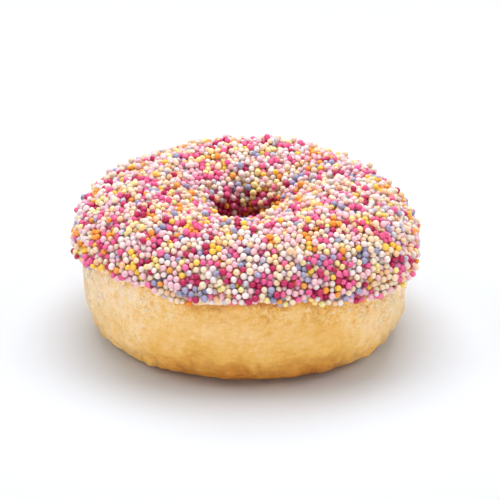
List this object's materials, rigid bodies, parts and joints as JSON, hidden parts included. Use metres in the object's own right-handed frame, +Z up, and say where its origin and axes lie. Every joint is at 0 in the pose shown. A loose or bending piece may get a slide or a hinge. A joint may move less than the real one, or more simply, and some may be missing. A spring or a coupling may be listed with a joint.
{
  "type": "sprinkle frosted ring doughnut",
  "caption": "Ring doughnut with a flat fried base, upright golden sides and an icing cap rolled in small round sugar pearls of many colours, which runs down into the hole.",
  "frame": {"origin": "on the plane that the doughnut rests on, under the centre of its bounding box, which lies in the hole", "axes": "+Z up through the hole, -Y towards the side that faces the viewer, +X to the viewer's right"},
  "size_m": [0.0898, 0.0884, 0.0414],
  "materials": {
    "fried_dough": "fried dough: golden and slightly greasy, paler at the icing and browner towards the base, finely pitted",
    "icing": "thin set sugar icing, warm white, satin",
    "sugar_pearls": "hard sugar pearls in cream, white, peach, pink, magenta, orange, yellow and grey blue, smooth with a soft sheen"
  },
  "bodies": {
    "root": {"dough_ring": "fried_dough", "icing_cap": "icing"}
  },
  "joints": []
}
